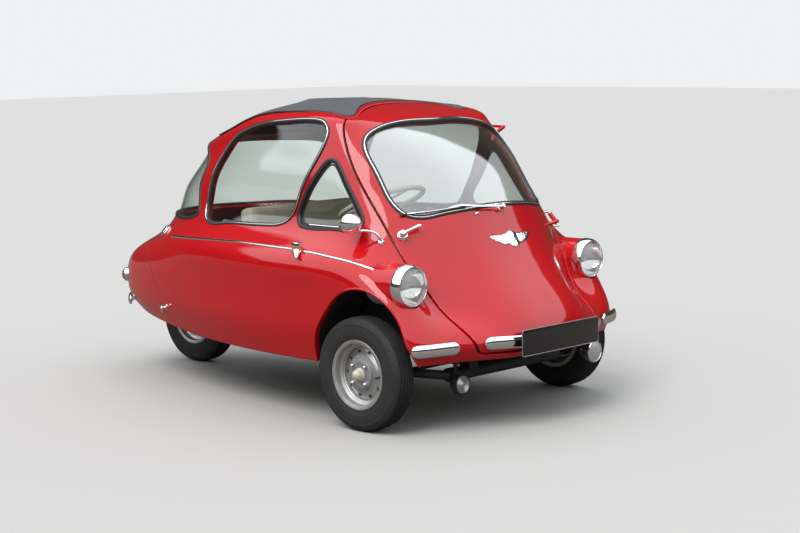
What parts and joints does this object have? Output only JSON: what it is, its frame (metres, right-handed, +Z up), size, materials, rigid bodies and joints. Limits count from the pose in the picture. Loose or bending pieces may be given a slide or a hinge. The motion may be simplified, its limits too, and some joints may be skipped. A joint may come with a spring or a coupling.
{
  "type": "bubble car",
  "caption": "Small red three-wheeled bubble car with a front door, fabric roof, chrome trim and one rear wheel.",
  "frame": {"origin": "on the ground under the centre of the bounding box", "axes": "+X forward towards the nose, +Y to the car's left, +Z up"},
  "size_m": [2.5444, 1.3759, 1.301],
  "materials": {
    "paint": "gloss",
    "inner_paint": "satin",
    "chrome": "polished",
    "rubber": "matte",
    "tyre": "matte",
    "wheel_silver": "satin",
    "dark_metal": "satin",
    "grey_metal": "satin",
    "glass": "clear",
    "fabric": "matte",
    "seat": "satin",
    "cream": "gloss",
    "lamp": "polished",
    "amber": "gloss",
    "red_lens": "gloss",
    "plate": "gloss",
    "cast": "rough"
  },
  "bodies": {
    "chassis": {"body_shell": "paint", "floor_pan": "inner_paint", "wheel_housing_r": "dark_metal", "wheel_housing_l": "dark_metal", "rear_shelf": "inner_paint", "roof_fabric": "fabric", "side_glass_r": "glass", "side_glass_l": "glass", "quarter_glass_r": "glass", "quarter_glass_l": "glass", "rear_glass": "glass", "seat_bench": "seat", "steering_column": "cream", "front_suspension": "dark_metal", "rear_suspension": "dark_metal", "engine_block": "cast", "exhaust": "grey_metal", "headlamp_r": "lamp", "headlamp_l": "lamp", "fender_bumper_r": "chrome", "fender_bumper_l": "chrome", "rear_bumpers": "chrome", "side_indicators": "amber", "mirror": "chrome", "tail_lamps": "red_lens", "filler_cap": "chrome", "hinge_pins": "chrome", "horn": "grey_metal", "fog_lamp": "lamp"},
    "door": {"door_panel": "paint", "windscreen": "glass", "door_bumper": "chrome", "front_plate": "plate", "door_handle": "chrome", "wiper": "chrome", "nose_badge": "chrome", "door_hinges": "chrome"},
    "lid": {"engine_lid": "paint", "lid_handle": "chrome", "lid_hinges": "chrome"},
    "steer_r": {"knuckle_r": "dark_metal"},
    "steer_l": {"knuckle_l": "dark_metal"},
    "wheel_fr": {"front_wheel_r": "wheel_silver", "front_tyre_r": "tyre"},
    "wheel_fl": {"front_wheel_l": "wheel_silver", "front_tyre_l": "tyre"},
    "wheel_rear": {"rear_wheel": "wheel_silver", "rear_tyre": "tyre"},
    "helm": {"steering_wheel": "cream"}
  },
  "joints": [
    {"name": "door_hinge", "type": "hinge", "parent": "chassis", "child": "door", "pos_m": [0.77847, 0.55722, 0.75394], "axis": [-0.6456, -0.0944, 0.7578], "range_deg": [0, 75]},
    {"name": "lid_hinge", "type": "hinge", "parent": "chassis", "child": "lid", "pos_m": [-0.99172, 0, 0.69506], "axis": [0, 1, 0], "range_deg": [0, 60]},
    {"name": "steer_right", "type": "hinge", "parent": "chassis", "child": "steer_r", "pos_m": [0.765, -0.575, 0.23], "axis": [0, 0, 1], "range_deg": [-24, 24]},
    {"name": "steer_left", "type": "hinge", "parent": "chassis", "child": "steer_l", "pos_m": [0.765, 0.575, 0.23], "axis": [0, 0, 1], "range_deg": [-24, 24]},
    {"name": "spin_front_right", "type": "hinge", "parent": "steer_r", "child": "wheel_fr", "pos_m": [0.765, -0.61, 0.23], "axis": [0, 1, 0], "continuous": true},
    {"name": "spin_front_left", "type": "hinge", "parent": "steer_l", "child": "wheel_fl", "pos_m": [0.765, 0.61, 0.23], "axis": [0, 1, 0], "continuous": true},
    {"name": "spin_rear", "type": "hinge", "parent": "chassis", "child": "wheel_rear", "pos_m": [-0.995, 0, 0.23], "axis": [0, 1, 0], "continuous": true},
    {"name": "helm_turn", "type": "hinge", "parent": "chassis", "child": "helm", "pos_m": [0.556, -0.29, 0.872], "axis": [-0.4126, 0, 0.9109], "range_deg": [-288, 288]}
  ],
  "couplings": [
    {"joint": "steer_left", "follows": "steer_right", "ratio": 1},
    {"joint": "helm_turn", "follows": "steer_right", "ratio": 12}
  ]
}
